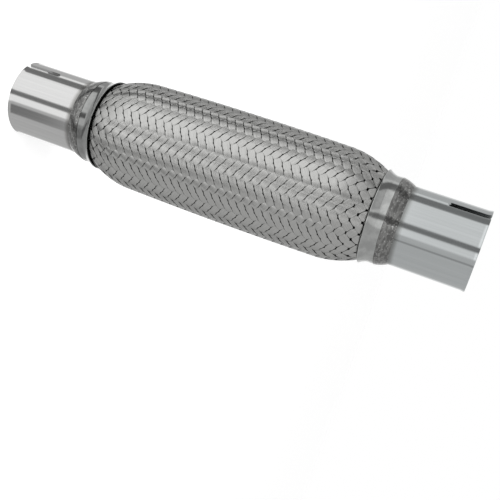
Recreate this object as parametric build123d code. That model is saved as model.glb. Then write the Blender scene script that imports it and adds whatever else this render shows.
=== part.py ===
from build123d import *
import os
from math import cos, pi, radians, sin, sqrt

# Driving dimensions, in millimetres and degrees. Heights are measured from the lower mouth.
OVERALL_LENGTH = 305.0

# Pipe ends: short tubes, slotted so that they can be squeezed tight on the pipe that each is pushed over
PIPE_DIAMETER = 48.0
PIPE_WALL = 1.5
PIPE_LENGTH = 57.5
SLOTS_PER_END = 2
SLOT_WIDTH = 4.0
SLOT_LENGTH = 24.5
SLOT_ANGLE = -146.0

# Weld beads, each a long slope from the pipe up to the rim of the end cap
BEAD_FOOT = 45.5
BEAD_LENGTH = 8.0
BEAD_CROWN = 0.45
BEAD_PROUD = 0.2

# End caps: pressed rings with a straight neck and a flared lip
CAP_WALL = 1.0
CAP_NECK_LENGTH = 3.7
CAP_FLARE_LENGTH = 5.3
CAP_FLARE = 2.4

# Bellows: the thin folded tube that seals the joint
BELLOWS_WALL = 0.4
BELLOWS_FOLDS = 8
BELLOWS_ROOT_RISE = 1.0
BELLOWS_CUFF_LENGTH = 12.0
BELLOWS_SIDES = 16

# Outer braid: flat bands of wire, two over and two under
BRAID_DIAMETER = 70.2
SHOULDER_DIAMETER = 68.8
SHOULDER_LENGTH = 30.0
SHOULDER_SETBACK = 6.0
NECK_BRAID = 0.45
BRAID_WALL = 1.5
BRAID_RELIEF = 0.9
BANDS_EACH_WAY = 24
BAND_PITCH = 5.4
FIRST_ROW_ANGLE = -63.2
WIDE_COLUMN = 12
GAP_HEIGHT = 80.0
GAP_SHARE = 0.12
RIDGE_REACH = 0.25
LATTICE_MARGIN = 0.1

# Liner: the smooth hose inside the bellows
LINER_WALL = 0.8

# Clearances between pieces that slide together, and where one rests on another
FIT = 0.1
BUTT_GAP = 0.3
REST_GAP = 0.3

# Radii and heights that follow from the sizes above
MIDDLE = OVERALL_LENGTH / 2
PIPE_RADIUS = PIPE_DIAMETER / 2
BORE_RADIUS = PIPE_RADIUS - PIPE_WALL
ROWS = 2 * BANDS_EACH_WAY
CUFF_INSIDE = (PIPE_RADIUS + FIT) / cos(pi / BELLOWS_SIDES)
CUFF_OUTSIDE = CUFF_INSIDE + BELLOWS_WALL
NECK_INSIDE = (CUFF_OUTSIDE + FIT) / cos(pi / ROWS)
NECK_OUTSIDE = NECK_INSIDE + NECK_BRAID
CAP_INSIDE = NECK_OUTSIDE + FIT
CAP_OUTSIDE = CAP_INSIDE + CAP_WALL
STACK_FOOT = BEAD_FOOT + BEAD_LENGTH
FLARE_START = STACK_FOOT + CAP_NECK_LENGTH
LIP_HEIGHT = FLARE_START + CAP_FLARE_LENGTH
SHOULDER_START = STACK_FOOT + SHOULDER_SETBACK
SHOULDER_END = SHOULDER_START + SHOULDER_LENGTH
CELL_SIDE = sqrt((pi * BRAID_DIAMETER / 2 / BANDS_EACH_WAY) ** 2 + (BAND_PITCH / 2) ** 2)


def upper_copy(piece):
    """The same piece at the upper end, mirrored about the middle of the length."""
    return mirror(piece, about=Plane.XY.offset(MIDDLE))


def polygon_face(*points):
    return Face(Wire.make_polygon([Vector(*point) for point in points]))


def ring(radius, height, sides, first_angle=0.0):
    """The corners of a regular polygon round the axis."""
    angles = [radians(first_angle + 360 * side / sides) for side in range(sides)]
    return [(radius * cos(angle), radius * sin(angle), height) for angle in angles]


def flat_strip(lower, upper):
    """Flat four-sided faces between two rings of the same angles."""
    pairs = zip(lower, lower[1:] + lower[:1], upper[1:] + upper[:1], upper)
    return [polygon_face(*corners) for corners in pairs]


def many_sided(outline, sides, first_angle=0.0):
    """A ring of flat faces that carries a closed outline of (radius, height) points round the axis."""
    rings = [ring(radius, height, sides, first_angle) for radius, height in outline]
    faces = []
    for near, far in zip(rings, rings[1:] + rings[:1]):
        faces += flat_strip(near, far)
    return Solid(Shell(faces))


def bent_strip(lower, upper):
    """Pairs of triangles between two closed loops of as many points, of which one may zigzag."""
    faces = []
    for here in range(len(lower)):
        there = (here + 1) % len(lower)
        faces.append(polygon_face(lower[here], lower[there], upper[there]))
        faces.append(polygon_face(lower[here], upper[there], upper[here]))
    return faces


def pipe_end():
    """A plain tube, slotted at its mouth. Its far end is pushed into the bellows."""
    tube = Cylinder(PIPE_RADIUS, PIPE_LENGTH, align=(Align.CENTER, Align.CENTER, Align.MIN))
    tube -= Cylinder(BORE_RADIUS, PIPE_LENGTH, align=(Align.CENTER, Align.CENTER, Align.MIN))
    straight = SLOT_LENGTH - SLOT_WIDTH / 2
    cutter = Box(PIPE_DIAMETER, SLOT_WIDTH, straight, align=(Align.MIN, Align.CENTER, Align.MIN))
    cutter += Pos(0, 0, straight) * Rot(0, 90, 0) * Cylinder(
        SLOT_WIDTH / 2, PIPE_DIAMETER, align=(Align.CENTER, Align.CENTER, Align.MIN))
    for slot in range(SLOTS_PER_END):
        tube -= Rot(0, 0, SLOT_ANGLE + 360 * slot / SLOTS_PER_END) * cutter
    return tube


def end_cap():
    """A pressed ring with as many sides as the braid has rows, so that it lies close round the neck."""
    slant = sqrt(CAP_FLARE_LENGTH ** 2 + CAP_FLARE ** 2)
    lip_wall = CAP_WALL * slant / CAP_FLARE_LENGTH
    bend_rise = CAP_WALL * (slant - CAP_FLARE_LENGTH) / CAP_FLARE
    lip = CAP_OUTSIDE + CAP_FLARE
    outline = [(CAP_INSIDE, STACK_FOOT), (CAP_OUTSIDE, STACK_FOOT), (CAP_OUTSIDE, FLARE_START),
               (lip, LIP_HEIGHT), (lip - lip_wall, LIP_HEIGHT), (CAP_INSIDE, FLARE_START + bend_rise)]
    return many_sided(outline, ROWS, FIRST_ROW_ANGLE)


def weld_bead():
    crest = CAP_OUTSIDE + BEAD_PROUD
    halfway = ((PIPE_RADIUS + crest) / 2 + BEAD_CROWN, (BEAD_FOOT + STACK_FOOT) / 2)
    root = (PIPE_RADIUS + FIT) / cos(pi / ROWS)
    outline = [(root, BEAD_FOOT), halfway, (crest, STACK_FOOT), (root, STACK_FOOT)]
    return many_sided(outline, ROWS, FIRST_ROW_ANGLE)


def liner():
    length = OVERALL_LENGTH - 2 * (PIPE_LENGTH + BUTT_GAP)
    hose = Cylinder(PIPE_RADIUS, length) - Cylinder(PIPE_RADIUS - LINER_WALL, length)
    return Pos(0, 0, MIDDLE) * hose


def braid_radius(height):
    """Radius of the braid's crests: a straight neck, a domed shoulder and a slightly fuller middle."""
    depth = min(height, OVERALL_LENGTH - height)
    shoulder = SHOULDER_DIAMETER / 2
    if depth < SHOULDER_START:
        return NECK_OUTSIDE
    if depth < SHOULDER_END:
        share = (SHOULDER_END - depth) / SHOULDER_LENGTH
        return shoulder - (shoulder - NECK_OUTSIDE) * share ** 2
    share = (MIDDLE - depth) / (MIDDLE - SHOULDER_END)
    return BRAID_DIAMETER / 2 - (BRAID_DIAMETER / 2 - shoulder) * share ** 2


def inside_radius(height):
    return max(braid_radius(height) - BRAID_WALL, NECK_INSIDE)


def bellows():
    """A thin wall folded in straight pleats, each crest just inside the braid."""
    first = STACK_FOOT + BELLOWS_CUFF_LENGTH
    pleat = (OVERALL_LENGTH - 2 * first) / BELLOWS_FOLDS
    root = CUFF_OUTSIDE + BELLOWS_ROOT_RISE
    pleats = []
    for turn in range(1, 2 * BELLOWS_FOLDS):
        height = first + turn * pleat / 2
        crest = inside_radius(height) * cos(pi / ROWS) - REST_GAP
        pleats.append((crest if turn % 2 else root, height))
    depth = max(radius for radius, height in pleats) - root
    slant_wall = BELLOWS_WALL * sqrt(1 + (2 * depth / pleat) ** 2)
    cuff = [(CUFF_OUTSIDE, STACK_FOOT), (CUFF_OUTSIDE, first)]
    far_cuff = [(radius, OVERALL_LENGTH - height) for radius, height in cuff[::-1]]
    outside = cuff + pleats + far_cuff
    thickness = [BELLOWS_WALL] * 2 + [slant_wall] * len(pleats) + [BELLOWS_WALL] * 2
    inside = [(radius - wall, height) for (radius, height), wall in zip(outside, thickness)]
    return many_sided(outside + inside[::-1], BELLOWS_SIDES)


def level_heights():
    """Heights of the crossings. Where the braid narrows, its cells keep their sides and grow longer."""
    above = [MIDDLE]
    while above[-1] < OVERALL_LENGTH - SHOULDER_START - LATTICE_MARGIN:
        half_round = pi * braid_radius(above[-1]) / BANDS_EACH_WAY
        above.append(above[-1] + sqrt(CELL_SIDE ** 2 - half_round ** 2))
    above.pop()
    return [OVERALL_LENGTH - height for height in above[:0:-1]] + above


def columns():
    """Rows and lean, 1 or -1, of each column of floats round the braid.

    Bands float over two rows of crossings. The first column is a single row wide, and the one
    across from it three rows, so that the pattern closes.
    """
    found = []
    row = 0
    for column in range(BANDS_EACH_WAY):
        width = {0: 1, WIDE_COLUMN: 3}.get(column, 2)
        found.append((range(row, row + width), 1 if column % 2 else -1))
        row += width
    return found


LEVELS = level_heights()
LAST_LEVEL = len(LEVELS) - 1
MIDDLE_LEVEL = LAST_LEVEL // 2
LOWER_GAPS = min(range(LAST_LEVEL), key=lambda level: abs(LEVELS[level] - GAP_HEIGHT))
GAP_LEVELS = (LOWER_GAPS, LAST_LEVEL - LOWER_GAPS)


def is_crossing(row, level):
    """Crossings and the pinholes between them take turns along each row and each level."""
    return (row + level - MIDDLE_LEVEL) % 2 == 0


def valley_radius(height):
    return max(braid_radius(height) - BRAID_RELIEF, NECK_OUTSIDE)


def lattice_point(radius_at, row, level):
    whole = min(max(int(level), 0), LAST_LEVEL - 1)
    height = LEVELS[whole] + (level - whole) * (LEVELS[whole + 1] - LEVELS[whole])
    angle = radians(FIRST_ROW_ANGLE + row * 360 / ROWS)
    radius = radius_at(height)
    return (radius * cos(angle), radius * sin(angle), height)


def corner(radius_at, node, towards):
    """A pinhole's place or, where it is an open gap, the gap's corner on the way to a neighbour."""
    share = GAP_SHARE if node[1] in GAP_LEVELS else 0.0
    row, level = (here + share * (there - here) for here, there in zip(node, towards))
    return lattice_point(radius_at, row, level)


def float_faces(cells, lean):
    """A low hipped roof over one float: its outline of pinholes is joined to a ridge along its middle.

    Each point of the outline goes with the cell whose edge leaves it.
    """
    (first_row, first_level), (last_row, last_level) = cells[0], cells[-1]
    end = len(cells) - 1
    ridge = [lattice_point(braid_radius, *cell) for cell in cells]
    if end:
        reach = RIDGE_REACH * lean
        ridge[0] = lattice_point(braid_radius, first_row - RIDGE_REACH, first_level - reach)
        ridge[end] = lattice_point(braid_radius, last_row + RIDGE_REACH, last_level + reach)
    loop = [((first_row - 1, first_level), 0)]
    loop += [((row, level + lean), min(cell + 1, end)) for cell, (row, level) in enumerate(cells)]
    loop += [((last_row + 1, last_level), end)]
    loop += [((row, level - lean), max(cell - 1, 0)) for cell, (row, level) in enumerate(cells)][::-1]
    faces = []
    turns = zip(loop, loop[1:] + loop[:1], loop[2:] + loop[:2])
    for (before, cell), (node, next_cell), (after, _) in turns:
        arrival = corner(valley_radius, node, before)
        leaving = corner(valley_radius, node, after)
        is_gap = node[1] in GAP_LEVELS
        faces.append(polygon_face(corner(valley_radius, before, node), arrival, ridge[cell]))
        if next_cell == cell:
            if is_gap:
                faces.append(polygon_face(arrival, leaving, ridge[cell]))
        else:
            step = next_cell - cell
            across = corner(valley_radius, node, (node[0] + step, node[1] - step * lean))
            faces.append(polygon_face(across, ridge[cell], ridge[next_cell]))
            if is_gap:
                faces.append(polygon_face(arrival, across, ridge[cell]))
                faces.append(polygon_face(across, leaving, ridge[next_cell]))
    return faces


def woven_faces():
    """The roofs over all floats, which stop short where they run past the lattice's ends."""
    faces = []
    for rows, lean in columns():
        for level in range(-len(rows), LAST_LEVEL + len(rows) + 1):
            if is_crossing(rows[0], level):
                cells = [(row, level + lean * step) for step, row in enumerate(rows)]
                cells = [cell for cell in cells if 0 < cell[1] < LAST_LEVEL]
                if cells:
                    faces += float_faces(cells, lean)
    return faces


def lining_faces(level):
    """The inner side of the cells beside a level of gaps."""
    faces = []
    for cell_level in (level - 1, level, level + 1):
        for row in range(ROWS):
            if is_crossing(row, cell_level):
                loop = [(row - 1, cell_level), (row, cell_level + 1),
                        (row + 1, cell_level), (row, cell_level - 1)]
                points = []
                for before, node, after in zip(loop[-1:] + loop, loop, loop[1:] + loop[:1]):
                    points.append(corner(inside_radius, node, before))
                    if node[1] in GAP_LEVELS:
                        points.append(corner(inside_radius, node, after))
                faces += [polygon_face(points[0], *pair) for pair in zip(points[1:], points[2:])]
    return faces


def gap_faces(level):
    """The four walls of each gap on a level, from the outside through to the inside."""
    faces = []
    for row in range(ROWS):
        if not is_crossing(row, level):
            node = (row, level)
            ends = [(row + 1, level + 1), (row + 1, level - 1), (row - 1, level - 1), (row - 1, level + 1)]
            outer = [corner(valley_radius, node, end) for end in ends]
            inner = [corner(inside_radius, node, end) for end in ends]
            faces += bent_strip(outer, inner)
    return faces


def zigzag(radius_at, outer_level, inner_level):
    """The edge of the lattice, a loop through the last pinhole of every row."""
    return [lattice_point(radius_at, row, inner_level if is_crossing(row, outer_level) else outer_level)
            for row in range(ROWS)]


def braid_ring(radius, height):
    return ring(radius, height, ROWS, FIRST_ROW_ANGLE)


def outer_braid():
    top = OVERALL_LENGTH - STACK_FOOT
    shoulder = SHOULDER_DIAMETER / 2
    freed = SHOULDER_END - SHOULDER_LENGTH * sqrt(
        (shoulder - NECK_INSIDE - BRAID_WALL) / (shoulder - NECK_OUTSIDE))
    low, high = GAP_LEVELS
    outside = [braid_ring(NECK_OUTSIDE, STACK_FOOT), braid_ring(NECK_OUTSIDE, SHOULDER_START),
               zigzag(valley_radius, 0, 1), zigzag(valley_radius, LAST_LEVEL, LAST_LEVEL - 1),
               braid_ring(NECK_OUTSIDE, OVERALL_LENGTH - SHOULDER_START), braid_ring(NECK_OUTSIDE, top)]
    steps = [STACK_FOOT, freed, (freed + LEVELS[low - 2]) / 2]
    inner_low = [braid_ring(inside_radius(height), height) for height in steps]
    inner_high = [braid_ring(inside_radius(height), OVERALL_LENGTH - height) for height in steps[::-1]]
    middle = [braid_ring(inside_radius(height), height)
              for height in (SHOULDER_END, MIDDLE, OVERALL_LENGTH - SHOULDER_END)]
    faces = flat_strip(outside[0], outside[1]) + bent_strip(outside[1], outside[2]) + woven_faces()
    faces += bent_strip(outside[3], outside[4]) + flat_strip(outside[4], outside[5])
    for rings in (inner_low, middle, inner_high):
        for lower, upper in zip(rings, rings[1:]):
            faces += flat_strip(lower, upper)
    faces += bent_strip(inner_low[-1], zigzag(inside_radius, low - 2, low - 1))
    faces += bent_strip(zigzag(inside_radius, low + 2, low + 1), middle[0])
    faces += bent_strip(middle[-1], zigzag(inside_radius, high - 2, high - 1))
    faces += bent_strip(zigzag(inside_radius, high + 2, high + 1), inner_high[0])
    for level in GAP_LEVELS:
        faces += lining_faces(level) + gap_faces(level)
    faces += flat_strip(outside[0], inner_low[0]) + flat_strip(outside[5], inner_high[-1])
    return Solid(Shell(faces))


lower_pipe = pipe_end()
lower_cap = end_cap()
lower_bead = weld_bead()
pieces = {
    "lower_pipe_end": lower_pipe,
    "upper_pipe_end": upper_copy(lower_pipe),
    "lower_end_cap": lower_cap,
    "upper_end_cap": upper_copy(lower_cap),
    "lower_weld_bead": lower_bead,
    "upper_weld_bead": upper_copy(lower_bead),
    "outer_braid": outer_braid(),
    "bellows": bellows(),
    "liner": liner(),
}
os.makedirs("parts", exist_ok=True)
for name, piece in pieces.items():
    export_step(piece, f"parts/{name}.step")
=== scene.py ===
import bpy
from math import pi, radians, sin, sqrt
from mathutils import Matrix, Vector
import numpy as np


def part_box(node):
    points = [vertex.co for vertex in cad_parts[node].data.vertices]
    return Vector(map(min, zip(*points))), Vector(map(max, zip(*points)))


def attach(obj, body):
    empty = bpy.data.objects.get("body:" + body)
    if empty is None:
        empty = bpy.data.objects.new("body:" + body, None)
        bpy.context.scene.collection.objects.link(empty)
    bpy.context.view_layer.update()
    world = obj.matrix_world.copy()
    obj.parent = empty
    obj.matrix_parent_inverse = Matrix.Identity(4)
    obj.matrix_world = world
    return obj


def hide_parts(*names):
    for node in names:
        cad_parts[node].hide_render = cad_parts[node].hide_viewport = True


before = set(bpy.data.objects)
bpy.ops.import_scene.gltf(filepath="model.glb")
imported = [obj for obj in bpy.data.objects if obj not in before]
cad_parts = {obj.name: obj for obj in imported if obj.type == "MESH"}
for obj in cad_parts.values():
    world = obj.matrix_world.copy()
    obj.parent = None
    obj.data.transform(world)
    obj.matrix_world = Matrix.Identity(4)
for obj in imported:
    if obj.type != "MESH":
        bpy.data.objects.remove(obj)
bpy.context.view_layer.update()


# The studio: a plain white room, greyer on its walls and straight below, in which grey and dark cards
# stand. They give the round metal its long bright and dark bands. Seen by the camera, or through
# something clear, the room is all white.
class Signal:
    """What a shader node gives out. It takes part in sums as a number would."""

    def __init__(self, socket):
        self.socket = socket

    def node(self, kind, settings=None, inputs=None, output=0):
        """Adds a node to the same tree: first its settings, then the values or links of its sockets."""
        made = self.socket.id_data.nodes.new("ShaderNode" + kind)
        for name, setting in (settings or {}).items():
            setattr(made, name, setting)
        for place, source in (inputs or {}).items():
            if isinstance(source, Signal):
                self.socket.id_data.links.new(source.socket, made.inputs[place])
            else:
                made.inputs[place].default_value = source
        return Signal(made.outputs[output])

    def maths(self, operation, *others):
        return self.node("Math", {"operation": operation}, dict(enumerate((self, *others))))

    def step(self, start, end, low=0.0, high=1.0):
        """Passes softly from low, up to start, to high, from end on."""
        return self.node("MapRange", {"interpolation_type": "SMOOTHSTEP"},
                         {"Value": self, "From Min": start, "From Max": end, "To Min": low, "To Max": high})

    def feed(self, socket):
        self.socket.id_data.links.new(self.socket, socket)

    def __add__(self, other):
        return self.maths("ADD", other)

    def __sub__(self, other):
        return self.maths("SUBTRACT", other)

    def __rsub__(self, other):
        return self.maths("MULTIPLY_ADD", -1, other)

    def __mul__(self, other):
        return self.maths("MULTIPLY", other)

    def __truediv__(self, other):
        return self.maths("DIVIDE", other)

    __radd__ = __add__
    __rmul__ = __mul__


def coordinates(tree, kind):
    return Signal(tree.nodes.new("ShaderNodeTexCoord").outputs[kind])


def parts_of(vector):
    return [vector.node("SeparateXYZ", {}, {0: vector}, axis) for axis in range(3)]


GREY_CARD = 0.5
DARK_CARD = 0.2
CARD_EDGE = 3
FLOOR = -90
CEILING = 90
ROOM_FOOT = 0.6
ROOM_WALL = 0.75


def between(place, start, end):
    """1 between two angles and 0 outside them, with the soft edges of a card."""
    past_start = place.step(start - CARD_EDGE, start + CARD_EDGE)
    past_end = place.step(end - CARD_EDGE, end + CARD_EDGE)
    return past_start * (1 - past_end)


world = bpy.data.worlds.new("studio")
bpy.context.scene.world = world
world.use_nodes = True
east, north, up = parts_of(coordinates(world.node_tree, "Generated"))
bearing = east.maths("ARCTAN2", 0 - north) * (180 / pi)
height = up.maths("ARCSINE") * (180 / pi)
room = height.step(-70, -40, ROOM_FOOT, 1) * height.step(-9, -4, 1, ROOM_WALL)
# Each card's two sides as bearings from the camera's side, its foot and top as slopes, all in degrees
for left, right, foot, top, tone in ((-150, -115, FLOOR, CEILING, GREY_CARD),
                                     (-105, -80, FLOOR, CEILING, DARK_CARD),
                                     (-80, -20, 15, CEILING, GREY_CARD),
                                     (-10, 5, -40, CEILING, DARK_CARD),
                                     (25, 150, FLOOR, CEILING, GREY_CARD),
                                     (35, 65, FLOOR, -30, DARK_CARD)):
    card = between(bearing, left, right) * between(height, foot, top)
    room = room * (1 - card) + card * tone
path = world.node_tree.nodes.new("ShaderNodeLightPath").outputs
seen_plainly = Signal(path["Is Camera Ray"]).maths("MAXIMUM", Signal(path["Is Transmission Ray"]))
room = room + seen_plainly * (1 - room)
room.feed(world.node_tree.nodes["Background"].inputs["Color"])
bpy.context.scene.view_settings.view_transform = "Standard"

# The floor: a pale matt sheet that the pipe stands on. The metal mirrors the room and not the floor.
# It glows a little for the camera alone, so that its far edge fades into the room.
FLOOR_SIDE = 6
FLOOR_GLOW = 0.55
bpy.ops.object.select_all(action="DESELECT")
bpy.ops.mesh.primitive_plane_add(size=FLOOR_SIDE)
floor = bpy.context.object
floor.name = "floor"
floor.visible_glossy = False
paper = bpy.data.materials.new("white_paper")
paper.use_nodes = True
shader = paper.node_tree.nodes["Principled BSDF"]
shader.inputs["Base Color"].default_value = (0.8, 0.8, 0.8, 1)
shader.inputs["Roughness"].default_value = 1
matt = Signal(shader.outputs[0])
seen_by_camera = Signal(paper.node_tree.nodes.new("ShaderNodeLightPath").outputs["Is Camera Ray"])
glow = matt.node("Emission", {}, {"Strength": seen_by_camera * FLOOR_GLOW})
surface = matt.node("AddShader", {}, {0: matt, 1: glow})
surface.feed(paper.node_tree.nodes["Material Output"].inputs["Surface"])
floor.data.materials.append(paper)

# The lamp: one large soft box overhead, which lights the floor and stays out of the mirrored room.
bpy.ops.object.light_add(type="AREA", location=(-0.25, -0.35, 1.1),
                         rotation=(radians(-18), radians(-12), 0))
lamp = bpy.context.object
lamp.name = "soft_box"
lamp.data.size = 0.7
lamp.data.energy = 9
lamp.visible_camera = False
lamp.visible_glossy = False

# The camera: low beside the upper end and rolled, so that the standing pipe crosses the picture.
MM = 0.001
bpy.ops.object.camera_add(location=(0, -455.8 * MM, 298.5 * MM),
                          rotation=(radians(-52.701), radians(-65.040), radians(139.813)))
camera = bpy.context.object
camera.data.sensor_width = 36
camera.data.lens = 55.375
bpy.context.scene.camera = camera


# Tube ends: short lengths of polished stainless tube, cut square and slotted on both sides so that
# they can be squeezed tight. The upper one is a little duller and shows the seam along which its
# strip was welded. Its colour is also set darker and bluer than the lower one's, as painted shade
# and a painted bluish reflection.
TUBE_WALL = 1.5 * MM
TUBE_MOUTH = 0.3 * MM
MOUTH_RIM = 0.8 * MM
MOUTH_TAPER = 2.5 * MM
LOWER_TUBE_STEEL = (0.76, 0.76, 0.755)
# Painted shade and a painted bluish reflection: the upper tube's colour is darker and bluer than the
# lower's.
UPPER_TUBE_SHADED_STEEL = (0.70, 0.73, 0.735)
HAZE_REACH = 3.5 * MM
SLOT_WIDTH = 4.0 * MM
SLOT_LENGTH = 24.5 * MM
SLOT_BEARING = radians(-146)
SEAM_BEARING = radians(-69)
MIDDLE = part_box("outer_braid")[1].z / 2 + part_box("outer_braid")[0].z / 2
tube_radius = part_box("lower_pipe_end")[1].x
bore = tube_radius - TUBE_WALL
tube_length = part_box("lower_pipe_end")[1].z
bead_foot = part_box("lower_weld_bead")[0].z


def pick(piece):
    """Makes this the only piece that the next operator acts on."""
    bpy.ops.object.select_all(action="DESELECT")
    piece.select_set(True)
    bpy.context.view_layer.objects.active = piece


def finished(piece, kind, **settings):
    """Adds a modifier to a piece and applies it."""
    pick(piece)
    modifier = piece.modifiers.new(kind.lower(), kind)
    for name, setting in settings.items():
        setattr(modifier, name, setting)
    bpy.ops.object.modifier_apply(modifier=modifier.name)


def smoothed(piece, angle=35):
    pick(piece)
    bpy.ops.object.shade_smooth_by_angle(angle=radians(angle))


def sleek(piece):
    """Smooths a piece whose wide faces stay straight right up to their rounded edges."""
    smoothed(piece)
    finished(piece, "WEIGHTED_NORMAL", weight=100, keep_sharp=True)


def turned(name, outline, steps=240):
    """A ring turned from a closed outline of (radius, height) points."""
    count = len(outline)
    mesh = bpy.data.meshes.new(name)
    mesh.from_pydata([(radius, 0, height) for radius, height in outline],
                     [(place, (place + 1) % count) for place in range(count)], [])
    piece = bpy.data.objects.new(name, mesh)
    bpy.context.scene.collection.objects.link(piece)
    pick(piece)
    bpy.ops.object.mode_set(mode="EDIT")
    bpy.ops.mesh.select_all(action="SELECT")
    bpy.ops.mesh.spin(steps=steps, angle=2 * pi, center=(0, 0, 0), axis=(0, 0, 1))
    bpy.ops.mesh.select_all(action="SELECT")
    bpy.ops.mesh.remove_doubles(threshold=0.001 * MM)
    bpy.ops.mesh.normals_make_consistent(inside=False)
    bpy.ops.object.mode_set(mode="OBJECT")
    return piece


def upper_copy(piece, name):
    """The same piece at the upper end, mirrored about the middle, with its own mesh."""
    copy = bpy.data.objects.new(name, piece.data.copy())
    bpy.context.scene.collection.objects.link(copy)
    copy.data.transform(Matrix.Translation((0, 0, 2 * MIDDLE)) @ Matrix.Diagonal((1, 1, -1, 1)))
    copy.data.flip_normals()
    return copy


def fitted(piece, finish, slot, *nodes):
    """Gives a finished piece its material and its place in the frame."""
    piece.data.materials.clear()
    piece.data.materials.append(finish)
    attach(piece, "root")
    if nodes:
        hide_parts(*nodes)


def metal(name, colour, roughness):
    """A bare metal, whose colour and roughness may be set apart again, and its main shader."""
    finish = bpy.data.materials.new(name)
    finish.use_nodes = True
    shader = finish.node_tree.nodes["Principled BSDF"]
    shader.inputs["Base Color"].default_value = (*colour, 1)
    shader.inputs["Metallic"].default_value = 1
    shader.inputs["Roughness"].default_value = roughness
    return finish, shader


def grain(place, across, along, detail=3):
    """Noise stretched along the pipe, as long as drawn tube's lines, from 0 to 1."""
    stretched = place.node("Mapping", {}, {"Vector": place, "Scale": (across, across, along)})
    return stretched.node("TexNoise", {}, {"Vector": stretched, "Scale": 1.0, "Detail": detail})


def tint(signal, low, high):
    """A colour between two, by a signal from 0 to 1."""
    return signal.node("Mix", {"data_type": "RGBA"}, {0: signal, 6: (*low, 1), 7: (*high, 1)}, 2)


def raised(signal, strength, distance, shader):
    """Lets a signal stand out of the surface as fine relief."""
    relief = signal.node("Bump", {}, {"Strength": strength, "Distance": distance, "Height": signal})
    relief.feed(shader.inputs["Normal"])


def tube_finish(name, colour, roughness, line_depth, seam):
    """Drawn tube: fine lines along it, a hazier zone by the weld, painted shade inside the bore and, where
    asked, a seam.
    """
    finish, shader = metal(name, colour, roughness)
    place = coordinates(finish.node_tree, "Object")
    x, y, z = parts_of(place)
    from_weld = (MIDDLE - bead_foot - (z - MIDDLE).maths("ABSOLUTE")).maths("ABSOLUTE")
    haze = from_weld.step(0, HAZE_REACH, 1, 0)
    # Painted shade: the inside of the bore is darkened in colour, where shade falls.
    inside = (x * x + y * y).maths("SQRT").step(bore + 0.1 * MM, bore + 0.3 * MM, 1, 0)
    lines = grain(place, 900, 12)
    shade = lines.step(0.3, 0.75, 0.94, 1.0) * (1 - haze * 0.5) * (1 - inside * 0.6)
    rough = grain(place, 300, 20) * 0.10 + haze * 0.12 + inside * 0.3 + (roughness - 0.05)
    if seam:
        off_seam = (y.maths("ARCTAN2", x) - SEAM_BEARING).maths("ABSOLUTE") * tube_radius
        at_seam = off_seam.step(0.2 * MM, 0.9 * MM, 1, 0)
        shade = shade * (1 - at_seam * 0.35)
        rough = rough + at_seam * 0.12
    warm = tint(haze, colour, (colour[0] * 0.97, colour[1] * 0.96, colour[2] * 0.94))
    warm.node("Mix", {"data_type": "RGBA", "blend_type": "MULTIPLY"},
              {0: 1.0, 6: warm, 7: shade}, 2).feed(shader.inputs["Base Color"])
    rough.feed(shader.inputs["Roughness"])
    raised(lines, line_depth, 0.02 * MM, shader)
    return finish


lower_tube = turned("lower_tube", [
    (bore, 0), (tube_radius + TUBE_MOUTH, 0), (tube_radius + TUBE_MOUTH, MOUTH_RIM),
    (tube_radius, MOUTH_TAPER), (tube_radius, tube_length), (bore, tube_length)])
bpy.ops.object.select_all(action="DESELECT")
bpy.ops.mesh.primitive_cylinder_add(vertices=32, radius=SLOT_WIDTH / 2, depth=3 * tube_radius,
                                    location=(0, 0, SLOT_LENGTH - SLOT_WIDTH / 2), rotation=(0, pi / 2, 0))
slot_cutter = bpy.context.object
bpy.ops.object.transform_apply(location=True, rotation=True)
slot_cutter.data.transform(Matrix.Rotation(SLOT_BEARING, 4, "Z"))
for corner in slot_cutter.data.vertices:
    if corner.co.z < SLOT_LENGTH - SLOT_WIDTH / 2 - 0.01 * MM:
        corner.co.z -= SLOT_LENGTH
finished(lower_tube, "BOOLEAN", operation="DIFFERENCE", object=slot_cutter, solver="EXACT")
bpy.data.objects.remove(slot_cutter)
finished(lower_tube, "BEVEL", width=0.15 * MM, segments=2, limit_method="ANGLE", angle_limit=radians(50))
upper_tube = upper_copy(lower_tube, "upper_tube")
for tube in (lower_tube, upper_tube):
    sleek(tube)
bright_tube = tube_finish("bright_tube", LOWER_TUBE_STEEL, roughness=0.10, line_depth=0.10, seam=False)
satin_shaded_tube = tube_finish("satin_shaded_tube", UPPER_TUBE_SHADED_STEEL, roughness=0.11, line_depth=0.22, seam=True)
fitted(lower_tube, bright_tube, "tube_steel", "lower_pipe_end")
fitted(upper_tube, satin_shaded_tube, "tube_steel", "upper_pipe_end")


# Weld beads: one run of weld round each tube, sloping up to the rim of the end cap. The metal is
# lumpy and darkened by the heat, with small bright specks painted on as glints.
BEAD_LUMP = 0.15 * MM
BEAD_SWELL = 0.45 * MM
BEAD_ROOT = 0.3 * MM
PAINTED_GLINT = (0.66, 0.66, 0.65)
bead_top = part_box("lower_weld_bead")[1].z
bead_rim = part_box("lower_weld_bead")[1].x


def bead_outline():
    """The bead's section: a swelling slope up to the cap's rim, closed along the tube."""
    steps = 10
    slope = []
    for step in range(steps + 1):
        share = step / steps
        swell = BEAD_SWELL * sin(pi * share)
        slope.append((tube_radius + (bead_rim - tube_radius) * share + swell,
                      bead_foot + (bead_top - bead_foot) * share))
    return slope + [(tube_radius - BEAD_ROOT, bead_top), (tube_radius - BEAD_ROOT, bead_foot)]


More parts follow.
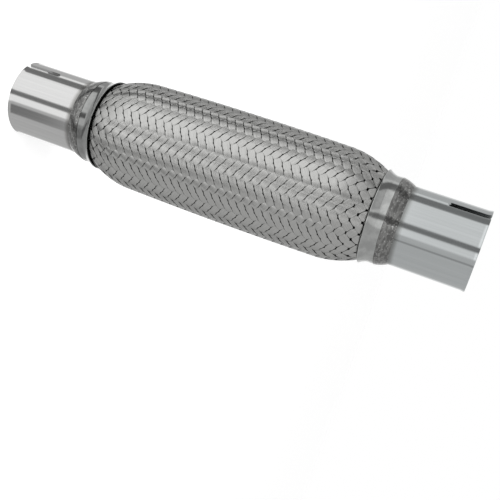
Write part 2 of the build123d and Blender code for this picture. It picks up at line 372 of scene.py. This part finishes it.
lower_bead = turned("lower_bead", bead_outline(), 300)
lumps = bpy.data.textures.new("lumps", "CLOUDS")
lumps.noise_scale = 2.2 * MM
lumps.noise_depth = 2
finished(lower_bead, "DISPLACE", texture=lumps, strength=BEAD_LUMP, mid_level=0.55,
         texture_coords="LOCAL", direction="NORMAL")
smoothed(lower_bead, 60)
upper_bead = upper_copy(lower_bead, "upper_bead")
weld, shader = metal("weld", (0.5, 0.5, 0.49), 0.3)
place = coordinates(weld.node_tree, "Object")
patches = grain(place, 260, 800, 4)
glint_specks = place.node("TexNoise", {}, {"Vector": place, "Scale": 1100.0, "Detail": 2.0})
burnt = tint(patches.step(0.40, 0.62), (0.20, 0.20, 0.196), (0.35, 0.35, 0.342))
# Painted glints: small bright specks mixed into the bead's colour.
glint_speckled = burnt.node("Mix", {"data_type": "RGBA"},
                      {0: glint_specks.step(0.58, 0.70), 6: burnt, 7: (*PAINTED_GLINT, 1)}, 2)
glint_speckled.feed(shader.inputs["Base Color"])
(patches * 0.16 + 0.10).feed(shader.inputs["Roughness"])
raised(glint_specks, 0.25, 0.12 * MM, shader)
fitted(lower_bead, weld, "weld", "lower_weld_bead")
fitted(upper_bead, weld, "weld", "upper_weld_bead")


# End caps: rings pressed from thin bright sheet, with a straight neck that is welded to the tube
# and a lip that flares out over the end of the braid. A painted highlight runs along the lip's edge,
# the inside is darkened as painted shade, and the lower cap is painted darker than the upper as
# painted shade.
CAP_WALL = 1.0 * MM
CAP_NECK = 3.7 * MM
CAP_FLARE = 2.4 * MM
FLARE_POWER = 1.7
SHEET_STEEL = (0.67, 0.68, 0.67)
# Painted shade: the lower cap's colour is scaled down against the upper's, though both are the same sheet.
LOWER_CAP_PAINTED_LIGHT = 0.6
UPPER_CAP_PAINTED_LIGHT = 0.9
cap_low, cap_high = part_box("lower_end_cap")
cap_lip = cap_high.x
cap_neck = cap_lip - CAP_FLARE


def cap_outline():
    """The cap's section: a straight neck and a flare that steepens towards the lip."""
    steps = 12
    flare_start = cap_low.z + CAP_NECK
    outside, inside = [(cap_neck, cap_low.z)], [(cap_neck - CAP_WALL, cap_low.z)]
    for step in range(steps + 1):
        share = step / steps
        rise = CAP_FLARE * share ** FLARE_POWER
        slope = FLARE_POWER * CAP_FLARE / (cap_high.z - flare_start) * share ** (FLARE_POWER - 1)
        height = flare_start + (cap_high.z - flare_start) * share
        lean = CAP_WALL / sqrt(1 + slope ** 2)
        outside.append((cap_neck + rise, height))
        inside.append((cap_neck + rise - lean, min(height + lean * slope, cap_high.z + 0.3 * MM)))
    return outside + inside[::-1]


lower_cap = turned("lower_cap", cap_outline())
finished(lower_cap, "BEVEL", width=0.25 * MM, segments=3, limit_method="ANGLE", angle_limit=radians(50))
upper_cap = upper_copy(lower_cap, "upper_cap")
for cap in (lower_cap, upper_cap):
    sleek(cap)


def sheet_finish(name, painted_light_level):
    """Pressed sheet: gently rippled, with painted shade on the inside, a painted highlight along the lip's
    edge and the whole colour scaled by a painted light level.
    """
    finish, shader = metal(name, SHEET_STEEL, 0.12)
    place = coordinates(finish.node_tree, "Object")
    x, y, z = parts_of(place)
    from_lip = (z - MIDDLE).maths("ABSOLUTE") - (MIDDLE - cap_high.z)
    # Painted highlight: a bright line along the lip's edge.
    lip_highlight = from_lip.step(0.1 * MM, 0.4 * MM, 1, 0)
    flare = (1 - from_lip / (cap_high.z - cap_low.z - CAP_NECK)).maths("MAXIMUM", 0)
    outside = flare.maths("POWER", FLARE_POWER) * CAP_FLARE + cap_neck
    # Painted shade: the inside of the cap and the gap under its lip are darkened in colour.
    inside = (outside - (x * x + y * y).maths("SQRT")).step(0.35 * MM, 0.55 * MM)
    ripple = place.node("TexNoise", {}, {"Vector": place, "Scale": 160.0, "Detail": 2.0})
    # The ripple's tone is the sheet's own; the light level scales it as painted shade.
    shade = ripple.step(0.35, 0.65, 0.8, 1.0) * painted_light_level
    shade = (shade + lip_highlight * (1 - shade)) * (1 - inside * 0.85)
    tint(shade, (0, 0, 0), SHEET_STEEL).feed(shader.inputs["Base Color"])
    (ripple * 0.12 + 0.07).feed(shader.inputs["Roughness"])
    raised(ripple, 0.15, 0.5 * MM, shader)
    return finish


fitted(lower_cap, sheet_finish("shaded_sheet", LOWER_CAP_PAINTED_LIGHT), "collar_steel", "lower_end_cap")
fitted(upper_cap, sheet_finish("lit_sheet", UPPER_CAP_PAINTED_LIGHT), "collar_steel", "upper_end_cap")


# Braid: 48 flat bands of fine stainless wire, 24 wound each way, woven two over and two under
# into one sleeve. Both ends are drawn in under the caps and held by them.
BANDS = 24
BAND_FILL = 0.96
BAND_PINCH = 0.2
PINCH_GROWTH = 4
PINCH_LENGTH = 0.11
COVER_END = 0.99
BAND_DEPTH = 0.28 * MM
BAND_THICKNESS = 0.19 * MM
BAND_ROUNDING = 0.07 * MM
WIRES_PER_BAND = 8
WIRE_SHIFT = 0.37
PITCH = 5.4 * MM
FIRST_ROW = radians(-63.2)
MIDDLE_RADIUS = 35.1 * MM
SHOULDER_RADIUS = 34.4 * MM
NECK_RADIUS = 25.5 * MM
SHOULDER_START = 59.5 * MM
SHOULDER_LENGTH = 30 * MM
STEPS_PER_CROSSING = 8
rows = 2 * BANDS
crossing_side = sqrt((pi * MIDDLE_RADIUS / BANDS) ** 2 + (PITCH / 2) ** 2)
middle_spacing = pi * MIDDLE_RADIUS / BANDS * PITCH / crossing_side
braid_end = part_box("outer_braid")[1].z - 2 * MM


def braid_radius(height):
    """Radius over the wires: a straight neck, a domed shoulder and a slightly fuller middle."""
    from_end = np.minimum(height, 2 * MIDDLE - height)
    shoulder_end = SHOULDER_START + SHOULDER_LENGTH
    drawn_in = np.clip((shoulder_end - from_end) / SHOULDER_LENGTH, 0, 1)
    shoulder = SHOULDER_RADIUS - (SHOULDER_RADIUS - NECK_RADIUS) * drawn_in ** 2
    from_middle = np.clip((MIDDLE - from_end) / (MIDDLE - shoulder_end), 0, 1)
    return shoulder + (MIDDLE_RADIUS - SHOULDER_RADIUS) * (1 - from_middle ** 2)


def crossing_heights():
    """Heights of the crossings. Where the sleeve narrows, the cells keep their sides and stretch."""
    above = [MIDDLE]
    while above[-1] < braid_end:
        half_round = pi * braid_radius(above[-1]) / BANDS
        above.append(above[-1] + sqrt(crossing_side ** 2 - half_round ** 2))
    return [2 * MIDDLE - height for height in above[:0:-1]] + above


def weave(row, lean):
    """Where a band of this lean is in the weave: 1 if it lies on top, and how far it has come from
    the middle of its float, 0, to the float's end, 1. The columns of floats are two rows wide, but
    for one single row and, opposite it, one of three."""
    widths = np.array([1] + [2] * (BANDS // 2 - 1) + [3] + [2] * (BANDS // 2 - 1))
    ends = np.cumsum(widths) - 0.5
    place = (row + 0.5) % rows - 0.5
    column = np.searchsorted(ends, place, side="right")
    from_middle = np.abs(place - ends[column] + widths[column] / 2) / (widths[column] / 2)
    return (column % 2 == 0) == (lean == -1), from_middle


def band_mesh(lean, band):
    """Corners and faces of one band from end to end, and three numbers for each corner: its place
    across the band, its place along it, and 1 where another band covers it, where the wire's
    colour is darkened as painted shade."""
    heights = np.array(crossing_heights())
    middle_level = len(heights) // 2
    level = np.linspace(0, len(heights) - 1, (len(heights) - 1) * STEPS_PER_CROSSING + 1)
    row = 2 * band + lean * (level - middle_level)
    centre = np.interp(level, range(len(heights)), heights)
    rise = np.interp(level, np.arange(len(heights) - 1) + 0.5, np.diff(heights))
    half_round = pi * braid_radius(centre) / BANDS
    side = np.hypot(half_round, rise)
    on_top, from_middle = weave(row, lean)
    arch = BAND_DEPTH * from_middle ** 2
    depth = np.where(on_top, arch, 2 * BAND_DEPTH - arch)
    covered_shade = ~on_top & (from_middle < COVER_END)
    spacing = 2 * half_round * rise / side
    pinch = BAND_PINCH * (spacing / middle_spacing) ** PINCH_GROWTH
    from_corner = level % 1 - 0.5
    width = BAND_FILL * spacing * (1 - pinch * np.exp(-(from_corner / PINCH_LENGTH) ** 2))
    across = np.array([-1, -0.94, -0.8, -0.45, 0, 0.45, 0.8, 0.94, 1, 0.9, -0.9])
    is_back = np.array([0] * 9 + [1] * 2)
    drop = BAND_ROUNDING * np.abs(across) ** 8 * (1 - is_back) + is_back * BAND_THICKNESS
    reach = across * width[:, None] / 2
    corner_height = centre[:, None] - lean * reach * (half_round / side)[:, None]
    middle_radius = braid_radius(centre)[:, None]
    angle = FIRST_ROW + (row * 2 * pi / rows)[:, None] + reach * (rise / side)[:, None] / middle_radius
    radius = braid_radius(corner_height) - depth[:, None] - drop
    corners = np.stack([radius * np.cos(angle), radius * np.sin(angle), corner_height], axis=-1)
    count, around = len(level), len(across)
    index = np.arange(count * around).reshape(count, around)
    beside = np.roll(index, -1, axis=1)
    quads = np.stack([index[:-1], beside[:-1], beside[1:], index[1:]], axis=-1).reshape(-1, 4)
    faces = quads.tolist() + [index[0][::-1].tolist(), index[-1].tolist()]
    spread = np.broadcast_to(across / 2 + 0.5, (count, around)).ravel()
    way = (level * crossing_side)[:, None] + band * WIRE_SHIFT
    travelled = np.broadcast_to(way, (count, around)).ravel()
    covered_shade_marks = np.broadcast_to(covered_shade[:, None], (count, around)).astype(float).ravel()
    return corners.reshape(-1, 3), faces, (spread, travelled, covered_shade_marks)


def woven_piece(name, lean, bands):
    """Some of the bands of one lean as one piece, with the corners' numbers as attributes."""
    corners, faces, numbers = [], [], []
    offset = 0
    for band in bands:
        band_corners, band_faces, band_numbers = band_mesh(lean, band)
        faces += [[corner + offset for corner in face] for face in band_faces]
        offset += len(band_corners)
        corners.append(band_corners)
        numbers.append(band_numbers)
    mesh = bpy.data.meshes.new(name)
    mesh.from_pydata(np.concatenate(corners).tolist(), [], faces)
    for attribute, values in zip(("across", "along", "covered_shade"), zip(*numbers)):
        mesh.attributes.new(attribute, "FLOAT", "POINT").data.foreach_set("value", np.concatenate(values))
    piece = bpy.data.objects.new(name, mesh)
    bpy.context.scene.collection.objects.link(piece)
    smoothed(piece, 50)
    return piece


def attribute(tree, name):
    found = tree.nodes.new("ShaderNodeAttribute")
    found.attribute_name = name
    return Signal(found.outputs["Fac"])


WIRE_COLOUR = (0.66, 0.66, 0.645)
wire, shader = metal("braid_wire", WIRE_COLOUR, 0.2)
shader.inputs["Specular Tint"].default_value = (0.55, 0.55, 0.55, 1)
across, along, covered_shade = [attribute(wire.node_tree, name) for name in ("across", "along", "covered_shade")]
wires = across * WIRES_PER_BAND
# Painted shade: a faint darkening along the grooves between the wires, which also set the relief.
wire_grooves = (wires * (2 * pi)).maths("COSINE")
single = wires.node("CombineXYZ", {}, {0: wires * 1.3, 1: along * 160})
uneven = single.node("TexNoise", {}, {"Vector": single, "Scale": 1.0, "Detail": 2.0})
# Painted shade: the band's long edges are darkened, where the gaps between bands fall in shade.
edge_shade = (across - 0.5).maths("ABSOLUTE").step(0.46, 0.5, 1, 0.2)
# Painted shade: the colour falls nearly to black where another band covers this one.
shade = edge_shade * (0.97 - wire_grooves * 0.05) * uneven.step(0.25, 0.75, 0.86, 1.04) * (1 - covered_shade * 0.92)
tint(shade, (0, 0, 0), WIRE_COLOUR).feed(shader.inputs["Base Color"])
(uneven * 0.07 + covered_shade * 0.3 + 0.07).feed(shader.inputs["Roughness"])
raised(uneven * 0.6 - wire_grooves * 0.5, 0.7, 0.06 * MM, shader)

half = BANDS // 2
braid_pieces = [woven_piece(f"braid_{word}_{part + 1}", lean, range(part * half, (part + 1) * half))
                for word, lean in (("right", 1), ("left", -1)) for part in range(2)]
for piece in braid_pieces:
    fitted(piece, wire, "braid_wire", "outer_braid")


# Bellows: the thin folded tube under the braid that keeps the gas in. Only specks of it show
# between the bands and under the caps' lips, and its colour is painted near black as painted shade,
# since little light gets there.
dull_shaded_steel, shader = metal("dull_shaded_steel", (0.10, 0.10, 0.10), 0.5)
place = coordinates(dull_shaded_steel.node_tree, "Object")
cloud = place.node("TexNoise", {}, {"Vector": place, "Scale": 90.0})
(cloud * 0.2 + 0.4).feed(shader.inputs["Roughness"])
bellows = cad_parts["bellows"]
bellows.data.materials.clear()
bellows.data.materials.append(dull_shaded_steel)


# Liner: a hose wound from narrow steel strip whose edges hook into each other, seen through
# the mouths as a row of shallow grooves.
LINER_GROOVE = 6.2 * MM
GROOVE_DEPTH = 0.5 * MM
LINER_WALL = 1.0 * MM
liner_low, liner_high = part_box("liner")
liner_bore = liner_high.x - LINER_WALL


def liner_outline():
    """The hose's section: grooves on the inside, plain on the outside."""
    outline = [(liner_high.x, liner_high.z), (liner_high.x, liner_low.z)]
    grooves = int((liner_high.z - liner_low.z) / LINER_GROOVE)
    pitch = (liner_high.z - liner_low.z) / grooves
    for groove in range(grooves):
        foot = liner_low.z + groove * pitch
        outline += [(liner_bore, foot), (liner_bore, foot + 0.62 * pitch),
                    (liner_bore + GROOVE_DEPTH, foot + 0.70 * pitch),
                    (liner_bore + GROOVE_DEPTH, foot + 0.93 * pitch)]
    return outline + [(liner_bore, liner_high.z)]


liner = turned("strip_hose", liner_outline(), 120)
smoothed(liner)
rolled_strip, shader = metal("rolled_strip", (0.55, 0.55, 0.54), 0.28)
place = coordinates(rolled_strip.node_tree, "Object")
cloud = place.node("TexNoise", {}, {"Vector": place, "Scale": 140.0, "Detail": 3.0})
(cloud * 0.2 + 0.2).feed(shader.inputs["Roughness"])
fitted(liner, rolled_strip, "inner_steel", "liner")
